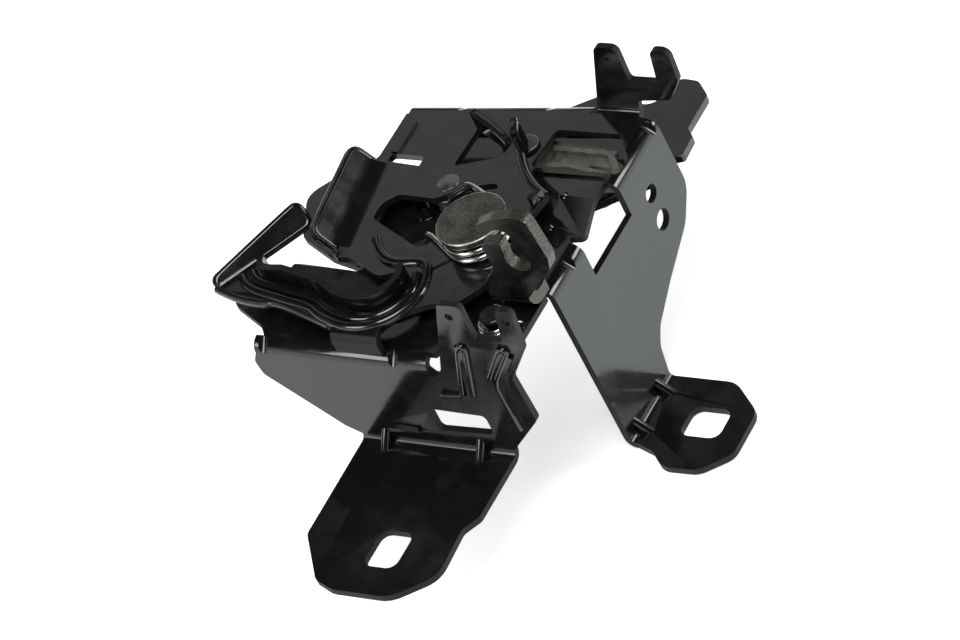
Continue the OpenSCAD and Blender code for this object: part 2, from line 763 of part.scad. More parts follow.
module safety_hub() color(cast_zinc) {
    arm_low = hub_top - cast_arm_t;
    difference() {
        union() {
            translate([safety_x, safety_y, safety_top])
                cylinder(r = hub_r, h = hub_top - safety_top);
            translate([0, 0, arm_low])
                slab([[safety_x, safety_y - hub_r, 2], [32, 51.5, 3], [40, 52.5, 2], [40.5, 58, 3],
                      [30, 65, 3], [safety_x, safety_y + hub_r, 2]], cast_arm_t - 1.5);
            // Ribs of the casting
            translate([0, 0, arm_low + cast_arm_t - 1.6]) {
                strip([[safety_x, safety_y + 3], [36, 62]], -0.8, 0.8, 1.6);
                strip([[safety_x, safety_y - 4], [24, 56.5], [39, 53.6]], -0.8, 0.8, 1.6);
                strip([[34, 62], [40, 55]], -0.9, 0.9, 1.6);
            }
            for (post = hub_posts)
                translate([post[0], post[1], safety_top])
                    cylinder(d = post_d, h = arm_low - safety_top + 0.5);
        }
        translate([safety_x, safety_y, safety_top - 1])
            cylinder(d = safety_pin_d + 2 * running_clear, h = hub_top - safety_top + 2);
        translate([33.5, 57, arm_low - 1])
            linear_extrude(cast_arm_t)
                polygon(rounded([[-5.5, -1.6, 1.4], [3.5, -2.6, 1.4], [3, 0.8, 1.4], [-5, 1.2, 1.4]]));
        for (post = hub_posts)
            translate([post[0], post[1], safety_top - 1])
                cylinder(d = hub_rivet_d, h = 6);
    }
}

hub_posts = [[25, 61]];
post_d = 8;
hub_rivet_d = 4;

module safety_lever() color(black) {
    difference() {
        translate([0, 0, safety_top - safety_t])
            slab([[-2, 90, 6], [-6, 83, 6], [-26, 80, 8], [-29, 66, 8], [-21, 50, 10], [-34, 14, 5], [-33, 4, 4], [-20, 4, 4], [-16, 12, 6],
                  [4, 46, 12], [24, 54, 8], [34, 62, 6], [hand_right, 66, 2], [hand_right, hand_gap, 1],
                  [hand_right + 4.4, hand_gap + 1.6, 1], [hand_right + 4, 83.6, 1.5], [hand_right + 1, 86.8, 1.5],
                  [hand_right + 1, hand_rear - 6, 3], [hand_right - 4.5, hand_rear - 0.8, 3],
                  [28, hand_rear, 6], [26, 92, 8], [12, 100, 6]], safety_t);
        translate([safety_x, safety_y, safety_top - safety_t - 1])
            cylinder(d = safety_pin_d + 2 * running_clear, h = safety_t + 2);
        for (post = hub_posts)
            translate([post[0], post[1], safety_top - safety_t - 1])
                cylinder(d = hub_rivet_d, h = safety_t + 2);
    }
}

module hub_rivets() color(phosphate) {
    for (post = hub_posts)
        translate([post[0], post[1], 0]) {
            translate([0, 0, safety_top - safety_t])
                cylinder(d = hub_rivet_d, h = safety_t + 5);
            translate([0, 0, safety_top - safety_t - 1.4])
                cylinder(d = hub_rivet_d + 3, h = 1.4);
        }
}

module safety_pivot() color(phosphate) {
    low = safety_top - safety_t - face_clear;
    translate([safety_x, safety_y, 0]) {
        translate([0, 0, low])
            cylinder(d = safety_pin_d, h = -low);
        cylinder(d = safety_pin_d + 2.4, h = 1.2);
        translate([0, 0, low - 1.8])
            cylinder(d = safety_pin_d + 5, h = 1.8);
    }
}

module safety_washer() color(zinc) {
    translate([safety_x, safety_y, -sheet_t - washer_t + face_clear])
        difference() {
            cylinder(d = 2 * hub_r, h = washer_t - face_clear);
            translate([0, 0, -1])
                cylinder(d = safety_pin_d, h = washer_t + 2);
        }
}

module safety_spring() color(zinc) {
    wire_d = 1.4;
    mean = hub_r + wire_d / 2 + 0.5;
    low = safety_top + 1.5;
    turn = [for (i = [0 : coil_steps * safety_turns])
        [safety_x + mean * cos(150 + 360 * i / coil_steps), safety_y + mean * sin(150 + 360 * i / coil_steps),
         low + wire_d * 1.08 * i / coil_steps]];
    top = turn[len(turn) - 1];
    end_x = top[0] - 5;
    end_y = rear_y + (end_x - rear_left) * tan(rear_slant) - sheet_t - wire_d / 2 - 2 * face_clear;
    wire(concat(turn, [[top[0] - 3.6, (top[1] + 2 * end_y) / 3, top[2]], [end_x, end_y, top[2]]]), wire_d);
}

base_plate();
mouth_plate();
catch();
catch_pivot();
catch_spring();
return_spring();
spring_pin();
plate_rivet();
safety_hub();
safety_lever();
safety_pivot();
safety_spring();
safety_washer();
hub_rivets();
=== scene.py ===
"""Bonnet latch: finishes, rounded edges, rolled rims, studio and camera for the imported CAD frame."""

import json
import math

import bmesh
import bpy
from bpy.props import FloatProperty, FloatVectorProperty, IntProperty, PointerProperty
from bpy.types import Operator, Panel, PropertyGroup
from mathutils import Matrix, Vector

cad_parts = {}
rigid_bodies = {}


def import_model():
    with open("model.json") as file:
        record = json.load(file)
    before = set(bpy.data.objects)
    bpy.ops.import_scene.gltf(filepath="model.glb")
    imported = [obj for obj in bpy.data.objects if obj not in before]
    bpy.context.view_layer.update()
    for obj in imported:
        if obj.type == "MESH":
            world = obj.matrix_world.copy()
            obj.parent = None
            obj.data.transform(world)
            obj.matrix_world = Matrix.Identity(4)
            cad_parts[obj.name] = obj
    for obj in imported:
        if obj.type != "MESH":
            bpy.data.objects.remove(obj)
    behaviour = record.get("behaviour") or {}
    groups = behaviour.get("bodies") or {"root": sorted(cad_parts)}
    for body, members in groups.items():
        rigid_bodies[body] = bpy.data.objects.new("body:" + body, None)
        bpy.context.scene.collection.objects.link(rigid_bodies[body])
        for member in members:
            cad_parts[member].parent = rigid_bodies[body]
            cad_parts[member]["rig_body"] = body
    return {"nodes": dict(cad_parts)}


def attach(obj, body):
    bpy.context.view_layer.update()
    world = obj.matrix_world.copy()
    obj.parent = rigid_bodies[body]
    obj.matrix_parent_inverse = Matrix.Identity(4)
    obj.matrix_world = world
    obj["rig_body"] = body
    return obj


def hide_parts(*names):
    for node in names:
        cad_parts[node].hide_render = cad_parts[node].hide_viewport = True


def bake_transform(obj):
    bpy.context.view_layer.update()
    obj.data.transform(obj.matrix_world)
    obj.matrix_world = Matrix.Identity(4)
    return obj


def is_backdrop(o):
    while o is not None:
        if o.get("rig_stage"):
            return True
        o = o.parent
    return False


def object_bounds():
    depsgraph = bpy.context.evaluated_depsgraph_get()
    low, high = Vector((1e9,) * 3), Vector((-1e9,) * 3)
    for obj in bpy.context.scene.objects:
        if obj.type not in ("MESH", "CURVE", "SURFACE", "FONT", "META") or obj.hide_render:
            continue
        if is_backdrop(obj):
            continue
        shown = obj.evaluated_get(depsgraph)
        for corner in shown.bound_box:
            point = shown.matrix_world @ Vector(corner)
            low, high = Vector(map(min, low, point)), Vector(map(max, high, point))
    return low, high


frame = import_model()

bl_info = {
    "name": "Bonnet latch",
    "version": (1, 0, 0),
    "blender": (4, 5, 0),
    "location": "View3D > Sidebar > Latch",
    "description": "Dresses the bonnet latch with its paint, metal finishes, studio and camera",
    "category": "Object",
}

CAD_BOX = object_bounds()

PAINTED = ("base_plate", "mouth_plate", "safety_lever")
RUBBED_HEADS = ("plate_rivet",)
DARK_STEEL = ("catch_pivot", "safety_pivot", "hub_rivets")
OILED_PINS = ("spring_pin",)
BRIGHT_WASHERS = ("safety_washer",)
CASTINGS = ("safety_hub",)
# Each spring is held by the frame before its first point and by the moving piece after its second
SPRINGS = {
    "catch_spring": ("catch", (0, 0.0067, 0.0180), (0, 0.0044, 0.0118)),
    "safety_spring": ("safety", (0, 0, -0.0110), (0, 0, -0.0150)),
}
FIXED_SPRINGS = ("return_spring",)

# Distances at which corners are joined, and angles that count as flat, rounded and sharp
JOINED = 2e-6
SLIVER = 1e-6
FLAT = math.radians(0.5)
ROUNDED_FROM = math.radians(32)
SHARP_FROM = math.radians(30)

# Upper face of the mouth plate
MOUTH_TOP = 0.007
# The mouth plate's front flange lies in front of this and faces forward at least this much
FLANGE_BACK = -0.0125
FLANGE_FACING = 0.6
# Heights between which the catch is bent up into its cable hook
HOOK_BEND = (0.0043, 0.0058)
# The catch's faces whose normal has less than this along the blank's normal are cut edges
SHEARED_BELOW = 0.5
# Thickness of the painted sheet in millimetres, and the share by which a cut strip's area may differ
SHEET = 2
CUT_TOLERANCE = 0.03

# The lines below are in millimetres
# Edge of the striker mouth, from the horn to the closed end, and the ridge that goes on beside the jaw
MOUTH_EDGE = (
    (-45.2, 3.4), (-41.5, -1.4), (-30, -3.9), (-19.2, -6), (-12.6, -9.2),
    (-5.2, -11), (1.1, -9.7), (4.8, -5.4), (5.9, -1.3), (4.4, 3.2),
)
JAW_RIDGE = ((8.4, 7.2), (5.2, 8.8), (0.5, 7.6), (-4.8, 7.4), (-9.5, 10.5), (-13, 15))
FRONT_EDGE = (
    (-54.5, -8), (-45.3, -10.6), (-36.9, -11.4), (-32.5, -10.8), (-22, -13.6), (-12, -16.6),
)
# Free edge of the mouth plate beside the rear window
REAR_EDGE = ((31.5, 37), (27, 39.5), (21, 44.5), (16, 51), (13.5, 56))
# Each lip's two ends on the plate, its heights there, its lean, where the plate starts to carry it,
# the share of the full bend at its foot, and the reach of its rim's round corners
LIPS = {
    "lip": {
        "ends": ((-29.5, 44), (-24.5, 9)), "heights": (10, 10), "lean": 34,
        "held_from": 0, "bend": 1, "ease": 3,
    },
    "horn": {
        "ends": ((-36.75, 20.41), (-54.5, -8)), "heights": (8.6, 4.2), "lean": 42,
        "held_from": 18, "bend": 0.45, "ease": 2.2,
    },
}
# Inset of a lip's ends, depth of its foot behind its line, height of its root, start of its rim
LIP_INSET = 0.6
LIP_SINK = 0.25
LIP_ROOT = 5.3
LIP_RIM_START = 1.4
# The bend at a lip's foot: its gap at each end, its depth in the plate and in the lip
BEND_GAP = 1
BEND_BEHIND = 0.3
BEND_UNDER = 0.4
BEND_IN_LIP = (0.4, 0.2)
BEND_STEPS = 8
# Ridges pressed in the front leg, across and up its front face, their sunk ends and round corners
LEG_FACE = -20
LEG_RIDGES = {
    "leg_ridge_left": (
        (19.1, -12), (26, -11.4), (27.7, -6.7), (32.5, 6.7), (34.2, 8.8), (35.3, 7.4), (29.6, -11),
    ),
    "leg_ridge_right": (
        (38.1, -3.3), (46, 8), (47.7, 9.2), (48.6, 7.8), (40.6, -3), (39.3, -6.5), (39.6, -22.7),
    ),
}
RIDGE_SUNK = 1
RIDGE_EASE = 0.8
# Tabs that stand on the plates: points of each one's middle line, heights of its foot and its top
TABS = {
    "spring_lug": (((6.01, 27.64), (10.37, 32.87)), 6.5, 12),
    "rear_tab": (((15.4, 50.95), (12.4, 56.6)), 6.5, 14),
    "right_tab": (((28.5, 32.1), (29.9, 35.9)), 6.5, 9.5),
    "strap": (((-11, 67.2), (-1.4, 62.2), (5.6, 57.8)), -1, 4.5),
}
TAB_EASE = 1.5
# Share of a rim's radius between its middle line and the sheet's edge
RIM_INSET = 0.8

# Usual range of a noise's values, and the gloss of sound paint
GRAIN = (0.3, 0.7)
PAINT_SPECULAR = 0.75

# Place and size of each lamp, all turned to one point, in metres
LAMP_TARGET = (0, 0.02, 0)
LAMPS = {
    "key": ((0.25, -0.35, 1.1), (0.6, 0.6)),
    "front": ((-0.5, -1.0, 0.6), (0.55, 0.55)),
    "fill": ((1.0, 0.7, 0.6), (0.5, 0.5)),
    "rear": ((-0.3, 0.42, 0.32), (0.32, 0.2)),
}
# Glow of the floor, and the stretch from front left to rear right over which its mirrored tone changes
FLOOR_GLOW = 0.57
FLOOR_TONE = (-0.03, 0.1)
# The backdrop that is mirrored fades from the horizon to the ceiling between two heights
FADE = (0.02, 0.3)
HORIZON = 1.0
CEILING = 0.03
SOFT_LIGHT = 0.45
# The photograph's camera, fitted to the folds of the base plate
CAMERA_BACK = Vector((0.5643, -0.5337, 0.6300))
CAMERA_RIGHT = Vector((0.8206, 0.4387, -0.3637))
CAMERA_PLACE = Vector((0.7539, -0.6903, 0.8106))
SENSOR = 36
CLIP = (0.01, 50)


def colour(name, description, default):
    return FloatVectorProperty(
        name=name, description=description, subtype="COLOR", size=3, min=0, max=1, default=default
    )


def length(name, description, default):
    return FloatProperty(
        name=name, description=description, subtype="DISTANCE", unit="LENGTH", default=default, precision=5
    )


def power(name, description, default):
    return FloatProperty(name=name, description=description, default=default, min=0, unit="POWER")


class LatchFinish(PropertyGroup):
    """Colours and gloss of the latch's finishes"""

    paint: colour("Paint", "Black paint of the pressings", (0.0035, 0.0035, 0.0037))
    paint_worn: colour("Worn paint", "Paint where it is rubbed thin or dusty", (0.009, 0.0088, 0.0086))
    paint_roughness: FloatProperty(
        name="Paint roughness", description="Mean roughness of the paint", default=0.12, min=0, max=1
    )
    # Grey of the rounded edges: worn paint, and also a painted highlight along them
    paint_edge: colour("Rubbed edge", "Grey where the paint is rubbed off an edge", (0.085, 0.084, 0.082))
    steel: colour("Phosphated steel", "Disc, stud and pins", (0.2, 0.192, 0.172))
    steel_dark: colour("Oiled steel", "Darker patches of the phosphated steel", (0.04, 0.038, 0.034))
    # Bright edge grey: steel rubbed bare, and also a painted highlight along the edges
    steel_edge: colour("Bright edge", "Steel where the phosphate is rubbed off an edge", (0.46, 0.45, 0.425))
    catch_face: colour("Catch faces", "Smooth oiled faces of the catch", (0.036, 0.0345, 0.031))
    catch_rubbed: colour("Rubbed catch", "Catch faces where the oil is rubbed off", (0.075, 0.071, 0.063))
    sheared: colour("Sheared steel", "Sheared edges of the catch", (0.125, 0.119, 0.105))
    sheared_dark: colour("Sheared pits", "Dark pits in the sheared edges", (0.04, 0.0375, 0.033))
    wire: colour("Zinc wire", "Bright spring wire", (0.75, 0.75, 0.73))
    wire_dull: colour("Dull zinc", "Dull patches on the spring wire", (0.56, 0.56, 0.545))
    casting: colour("Bare casting", "Unpainted cast hub", (0.155, 0.147, 0.126))
    casting_dark: colour("Casting shade", "Darker skin of the casting", (0.075, 0.07, 0.06))


class LatchEdges(PropertyGroup):
    """Rounding of the pieces' edges"""

    sheet: length("Sheet edge", "Rounding of the pressings' sheared edges", 0.00045)
    steel: length("Steel edge", "Rounding of the catch and the pins", 0.0004)
    casting: length("Casting edge", "Rounding of the casting's edges", 0.0005)
    segments: IntProperty(
        name="Segments", description="Faces across each rounded edge", default=2, min=1, max=4
    )


class LatchBeads(PropertyGroup):
    """Beads, rolled rims, ridges and bends of the pressings"""

    inner_gap: length("Inner bead", "Distance of the inner bead's middle from the mouth's edge", 0.00215)
    outer_gap: length("Outer bead", "Distance of the outer bead's middle from the mouth's edge", 0.00515)
    radius: length("Bead radius", "Radius of the beads' round top", 0.00145)
    sunk: length("Bead depth", "Depth of the beads' middle line below the plate's face", 0.0002)
    rim: length("Rolled rim", "Radius of the rolled rims of the lips and the front edge", 0.00118)
    ridge: length("Ridge radius", "Radius of the narrow ridges on the front leg", 0.0008)
    ridge_out: length("Ridge height", "Distance of the ridges' middle line from the leg's face", 0.0004)
    rear_sunk: length("Rear rim depth", "Depth of the rear rim's middle line below the plate's face", 0.0004)
    fillet: length("Lip fillet", "Radius of the bend at the foot of each lip", 0.007)


class LatchStage(PropertyGroup):
    """Studio and camera"""

    floor: length("Floor size", "Side of the floor sheet", 12.0)
    floor_drop: length("Floor drop", "Gap under the lowest foot", 0.0005)
    floor_left: colour("Floor on the left", "Glow of the floor that the leg mirrors", (0.09, 0.075, 0.055))
    floor_right: colour("Floor on the right", "Glow of the floor that the bracket mirrors", (0.83, 0.98, 1.0))
    lens: FloatProperty(
        name="Lens", description="Focal length on a 36 mm sensor", default=183.96, min=50, max=400
    )
    key: power("Key light", "Power of the key light above", 10)
    front: power("Front light", "Power of the light in front of the leg", 6)
    rear: power("Rear light", "Power of the soft light behind", 0.09)
    fill: power("Fill light", "Power of the fill light", 6)


def added(name, data):
    obj = bpy.data.objects.new(name, data)
    bpy.context.scene.collection.objects.link(obj)
    return obj


def shader(name):
    material = bpy.data.materials.new(name)
    material.use_nodes = True
    tree = material.node_tree
    return material, tree, tree.nodes["Principled BSDF"]


def noise(tree, scale, detail=4, roughness=0.55):
    place = tree.nodes.get("Texture Coordinate") or tree.nodes.new("ShaderNodeTexCoord")
    node = tree.nodes.new("ShaderNodeTexNoise")
    node.inputs["Scale"].default_value = scale
    node.inputs["Detail"].default_value = detail
    node.inputs["Roughness"].default_value = roughness
    tree.links.new(place.outputs["Object"], node.inputs["Vector"])
    return node.outputs["Fac"]


def spread(tree, value, low, high, to_low, to_high):
    node = tree.nodes.new("ShaderNodeMapRange")
    node.inputs["From Min"].default_value = low
    node.inputs["From Max"].default_value = high
    node.inputs["To Min"].default_value = to_low
    node.inputs["To Max"].default_value = to_high
    tree.links.new(value, node.inputs["Value"])
    return node.outputs["Result"]


def mixed(tree, share, first, second):
    node = tree.nodes.new("ShaderNodeMix")
    node.data_type = "RGBA"
    node.inputs["A"].default_value = (*first, 1)
    node.inputs["B"].default_value = (*second, 1)
    tree.links.new(share, node.inputs["Factor"])
    return node.outputs["Result"]


def tinted(tree, surface, share, first, second):
    tree.links.new(mixed(tree, share, first, second), surface.inputs["Base Color"])


def roughened(tree, surface, grain, low, high):
    tree.links.new(spread(tree, grain, *GRAIN, low, high), surface.inputs["Roughness"])


def bumped(tree, surface, height, strength, distance):
    node = tree.nodes.new("ShaderNodeBump")
    node.inputs["Strength"].default_value = strength
    node.inputs["Distance"].default_value = distance
    tree.links.new(height, node.inputs["Height"])
    tree.links.new(node.outputs["Normal"], surface.inputs["Normal"])


def black_paint(finish):
    """Glossy dipped paint with slight ripple, dust and rubbed patches."""
    material, tree, surface = shader("latch_black_paint")
    rubbed = spread(tree, noise(tree, 95, 6, 0.62), 0.52, 0.72, 0, 1)
    dust = spread(tree, noise(tree, 1900, 2), 0.66, 0.74, 0, 0.6)
    worn = tree.nodes.new("ShaderNodeMath")
    worn.operation = "MAXIMUM"
    tree.links.new(rubbed, worn.inputs[0])
    tree.links.new(dust, worn.inputs[1])
    tinted(tree, surface, worn.outputs["Value"], finish.paint, finish.paint_worn)
    low, high = finish.paint_roughness - 0.03, finish.paint_roughness + 0.09
    ripple = spread(tree, noise(tree, 140, 5, 0.6), 0.3, 0.75, low, high)
    tree.links.new(ripple, surface.inputs["Roughness"])
    bumped(tree, surface, noise(tree, 120, 2), 0.06, 0.0005)
    surface.inputs["Specular IOR Level"].default_value = PAINT_SPECULAR
    return material


def rubbed_paint(finish):
    """Paint along the edges, worn through to grey in places; the grey is also a painted highlight along the
    rounded edges.
    """
    material, tree, surface = shader("latch_rubbed_paint")
    tone = spread(tree, noise(tree, 120, 5, 0.6), 0.42, 0.6, 0, 1)
    # Grey patches on the edges stand for worn paint and for a painted highlight
    tinted(tree, surface, tone, finish.paint_worn, finish.paint_edge)
    roughened(tree, surface, noise(tree, 500, 3), 0.16, 0.34)
    surface.inputs["Specular IOR Level"].default_value = PAINT_SPECULAR
    surface.inputs["Metallic"].default_value = 0.25
    return material


def dull_paint(finish):
    """Thin dusty paint in the shade of the mouth plate's front edge."""
    material, tree, surface = shader("latch_dull_paint")
    tone = spread(tree, noise(tree, 140, 4), 0.4, 0.7, 0, 1)
    tinted(tree, surface, tone, finish.paint, finish.paint_worn)
    surface.inputs["Roughness"].default_value = 0.5
    surface.inputs["Specular IOR Level"].default_value = 0.25
    return material


def dark_steel(finish):
    """Phosphated steel: grainy, brown-grey, slightly oily."""
    material, tree, surface = shader("latch_dark_steel")
    grain = spread(tree, noise(tree, 2600, 3, 0.7), 0.38, 0.62, 0, 0.75)
    stain = spread(tree, noise(tree, 150, 4, 0.6), 0.42, 0.64, 0, 0.45)
    tone = tree.nodes.new("ShaderNodeMath")
    tree.links.new(grain, tone.inputs[0])
    tree.links.new(stain, tone.inputs[1])
    tinted(tree, surface, tone.outputs["Value"], finish.steel, finish.steel_dark)
    roughened(tree, surface, noise(tree, 420, 4), 0.16, 0.34)
    bumped(tree, surface, noise(tree, 2600, 3, 0.6), 0.35, 0.0001)
    surface.inputs["Metallic"].default_value = 0.85
    return material


def catch_face(finish):
    """Smooth rolled faces of the catch, dark with oil and a little rubbed."""
    material, tree, surface = shader("latch_catch_face")
    rubbed = spread(tree, noise(tree, 130, 5, 0.6), 0.48, 0.72, 0, 1)
    tinted(tree, surface, rubbed, finish.catch_face, finish.catch_rubbed)
    roughened(tree, surface, noise(tree, 260, 4), 0.2, 0.32)
    bumped(tree, surface, noise(tree, 1500, 2), 0.08, 0.0001)
    surface.inputs["Metallic"].default_value = 0.9
    return material


def sheared_steel(finish):
    """Sheared edges of the catch, grainy and speckled."""
    material, tree, surface = shader("latch_sheared_steel")
    pits = spread(tree, noise(tree, 1700, 4, 0.7), 0.4, 0.62, 0, 1)
    tinted(tree, surface, pits, finish.sheared, finish.sheared_dark)
    roughened(tree, surface, noise(tree, 900, 3), 0.3, 0.5)
    bumped(tree, surface, noise(tree, 1700, 4, 0.7), 0.5, 0.00015)
    surface.inputs["Metallic"].default_value = 0.85
    return material


def rubbed_steel(finish):
    """Edges of the phosphated pieces, rubbed bright in places; the bright grey is also a painted highlight
    along the edges.
    """
    material, tree, surface = shader("latch_rubbed_steel")
    tone = spread(tree, noise(tree, 260, 5, 0.6), 0.4, 0.62, 0, 1)
    # Bright patches on the edges stand for rubbed steel and for a painted highlight
    tinted(tree, surface, tone, finish.steel, finish.steel_edge)
    roughened(tree, surface, noise(tree, 520, 3), 0.24, 0.42)
    surface.inputs["Metallic"].default_value = 0.9
    return material


def zinc_wire(finish):
    """Bright zinc with dull patches and fine drawing marks."""
    material, tree, surface = shader("latch_zinc_wire")
    tone = spread(tree, noise(tree, 300, 5, 0.6), 0.42, 0.7, 0, 1)
    tinted(tree, surface, tone, finish.wire, finish.wire_dull)
    roughened(tree, surface, noise(tree, 520, 3), 0.14, 0.26)
    bumped(tree, surface, noise(tree, 2400, 2), 0.05, 0.00006)
    surface.inputs["Metallic"].default_value = 1.0
    return material


def bare_casting(finish):
    """Bare die casting with a mottled skin."""
    material, tree, surface = shader("latch_bare_casting")
    tone = spread(tree, noise(tree, 420, 5, 0.6), 0.34, 0.68, 0.1, 1)
    tinted(tree, surface, tone, finish.casting_dark, finish.casting)
    roughened(tree, surface, noise(tree, 600, 3), 0.28, 0.44)
    bumped(tree, surface, noise(tree, 900, 2), 0.1, 0.0001)
    surface.inputs["Metallic"].default_value = 0.35
    return material


def finish_material(context, make):
    """The finish that a function makes, made once."""
    return bpy.data.materials.get("latch_" + make.__name__) or make(context.scene.latch_finish)


def merged_copy(node):
    """Copy of a CAD node's mesh with its corners joined and its flat faces made whole."""
    source = frame["nodes"][node]
    shape = bmesh.new()
    shape.from_mesh(source.data)
    bmesh.ops.remove_doubles(shape, verts=shape.verts, dist=JOINED)
    bmesh.ops.dissolve_degenerate(shape, edges=shape.edges, dist=SLIVER)
    bmesh.ops.dissolve_limit(
        shape, angle_limit=FLAT, verts=shape.verts, edges=shape.edges, delimit={"NORMAL"}
    )
    mesh = bpy.data.meshes.new(node + "_dressed")
    shape.to_mesh(mesh)
    shape.free()
    return added(node + "_dressed", mesh)


def dress(context, node, finishes, width):
    """Stands for a CAD node with rounded edges, its finish and the finish of its edges."""
    piece = merged_copy(node)
    piece.data.materials.clear()
    for material in finishes:
        piece.data.materials.append(material)
    rounding = piece.modifiers.new("Rounded edges", "BEVEL")
    rounding.width = width
    rounding.material = len(finishes) - 1
    rounding.segments = context.scene.latch_edges.segments
    rounding.limit_method = "ANGLE"
    rounding.angle_limit = ROUNDED_FROM
    for face in piece.data.polygons:
        face.use_smooth = True
    piece.data.set_sharp_from_angle(angle=SHARP_FROM)
    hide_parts(node)
    return piece


class LATCH_OT_pressings(Operator):
    """Black painted pressings with rounded sheared edges"""

    bl_idname = "latch.pressings"
    bl_label = "Painted pressings"

    def execute(self, context):
        # The last finish goes on the rounded edges, its grey partly wear and partly painted highlight
        finishes = (finish_material(context, black_paint), finish_material(context, rubbed_paint))
        for node in PAINTED + RUBBED_HEADS:
            chosen = finishes[1:] if node in RUBBED_HEADS else finishes
            piece = dress(context, node, chosen, context.scene.latch_edges.sheet)
            if node in PAINTED:
                self.dull_faces(context, piece, node == "mouth_plate")
            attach(piece, frame["nodes"][node]["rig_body"])
        return {"FINISHED"}

    def dull_faces(self, context, piece, with_flange):
        """Dull paint on the sheets' cut faces and on the mouth plate's front flange."""
        mesh = piece.data
        dull = len(mesh.materials)
        mesh.materials.append(finish_material(context, dull_paint))
        for face in mesh.polygons:
            if self.is_cut(mesh, face) or (with_flange and self.is_flange(face)):
                face.material_index = dull

    def is_cut(self, mesh, face):
        """Whether a face is a strip as wide as the sheet is thick."""
        around = sum((mesh.vertices[a].co - mesh.vertices[b].co).length for a, b in face.edge_keys)
        width = SHEET / 1000
        return abs(width * (around / 2 - width) - face.area) < CUT_TOLERANCE * face.area

    def is_flange(self, face):
        forward = face.normal.y < -FLANGE_FACING
        return forward and face.center.y < FLANGE_BACK and face.center.z < MOUTH_TOP


class LATCH_OT_catch(Operator):
    """Oiled steel catch with speckled sheared edges"""

    bl_idname = "latch.catch"
    bl_label = "Catch"

    def execute(self, context):
        # The catch's rounded edges take the last finish, its bright grey partly wear and partly painted
        # highlight
        finishes = (
            finish_material(context, catch_face),
            finish_material(context, sheared_steel),
            finish_material(context, rubbed_steel),
        )
        piece = dress(context, "catch", finishes, context.scene.latch_edges.steel)
        for face in piece.data.polygons:
            face.material_index = 1 if self.is_sheared(face) else 0
        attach(piece, "catch")
        return {"FINISHED"}

    def is_sheared(self, face):
        """Whether a face is the blank's cut edge and not one of its two broad faces."""
        bend_start, bend_end = HOOK_BEND
        if face.center.z < bend_start:
            return abs(face.normal.z) < SHEARED_BELOW
        if face.center.z < bend_end:
            return abs(face.normal.x) > SHEARED_BELOW
        return abs(face.normal.y) < SHEARED_BELOW


class LATCH_OT_steel(Operator):
    """Phosphated disc stud and pins"""

    bl_idname = "latch.steel"
    bl_label = "Phosphated steel"

    def execute(self, context):
        # The rounded edges take the last finish, its bright grey partly wear and partly painted highlight
        finishes = (finish_material(context, dark_steel), finish_material(context, rubbed_steel))
        oiled = (finish_material(context, catch_face),)
        for node in DARK_STEEL + OILED_PINS:
            chosen = oiled if node in OILED_PINS else finishes
            piece = dress(context, node, chosen, context.scene.latch_edges.steel)
            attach(piece, frame["nodes"][node]["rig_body"])
        return {"FINISHED"}


class LATCH_OT_casting(Operator):
    """Bare cast hub of the safety lever and its washer"""

    bl_idname = "latch.casting"
    bl_label = "Bare casting"

    def execute(self, context):
        material = finish_material(context, bare_casting)
        for node in CASTINGS:
            piece = dress(context, node, (material,), context.scene.latch_edges.casting)
            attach(piece, frame["nodes"][node]["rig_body"])
        bright = finish_material(context, zinc_wire)
        for node in BRIGHT_WASHERS:
            frame["nodes"][node].material_slots[0].material = bright
        return {"FINISHED"}


class LATCH_OT_springs(Operator):
    """Round bright wires of the springs"""

    bl_idname = "latch.springs"
    bl_label = "Springs"

    def execute(self, context):
        material = finish_material(context, zinc_wire)
        for node in FIXED_SPRINGS:
            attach(self.wire(node, material), "frame")
        for node, (moving, start, end) in SPRINGS.items():
            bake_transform(self.wire(node, material))
        return {"FINISHED"}

    def wire(self, node, material):
        piece = merged_copy(node)
        piece.data.materials.clear()
        piece.data.materials.append(material)
        smooth = piece.modifiers.new("Round wire", "SUBSURF")
        smooth.levels = 1
        smooth.render_levels = 1
        for face in piece.data.polygons:
            face.use_smooth = True
        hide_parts(node)
        return piece


def metres(points):
    return [Vector(point) / 1000 for point in points]


def smooth_line(points, steps):
    """Points of a smooth curve through the given points."""
    ends = [points[0], *points, points[-1]]
    line = []
    for a, b, c, d in zip(ends, ends[1:], ends[2:], ends[3:]):
        for step in range(steps):
            t = step / steps
            bend = (2 * a - 5 * b + 4 * c - d) * t ** 2 + (3 * b - a - 3 * c + d) * t ** 3
            line.append(0.5 * (2 * b + (c - a) * t + bend))
    return line + [points[-1]]


def line_beside(line, gap):
    """The same line moved to its right."""
    moved = []
    for i, point in enumerate(line):
        along = (line[min(i + 1, len(line) - 1)] - line[max(i - 1, 0)]).normalized()
        moved.append(point + gap * Vector((along.y, -along.x)))
    return moved


def round_bar(name, line, radius, material):
    """Round painted bar along a line."""
    data = bpy.data.curves.new(name, "CURVE")
    data.dimensions = "3D"
    data.bevel_depth = radius
    data.bevel_resolution = 5
    data.use_fill_caps = True
    spline = data.splines.new("NURBS")
    spline.points.add(len(line) - 1)
    for target, place in zip(spline.points, line):
        target.co = (*place, 1)
    spline.use_endpoint_u = True
    spline.order_u = 4
    spline.resolution_u = 4
    data.materials.append(material)
    piece = added(name, data)
    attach(piece, "frame")


def at_height(line, height):
    return [Vector((point.x, point.y, height)) for point in line]


def eased(points, reach_mm, steps=4):
    """A line of points with its inner corners rounded."""
    reach = reach_mm / 1000
    line = [points[0]]
    for before, corner, after in zip(points, points[1:], points[2:]):
        start = corner + reach * (before - corner).normalized()
        end = corner + reach * (after - corner).normalized()
        for step in range(steps + 1):
            t = step / steps
            line.append((1 - t) ** 2 * start + 2 * t * (1 - t) * corner + t ** 2 * end)
    return line + [points[-1]]


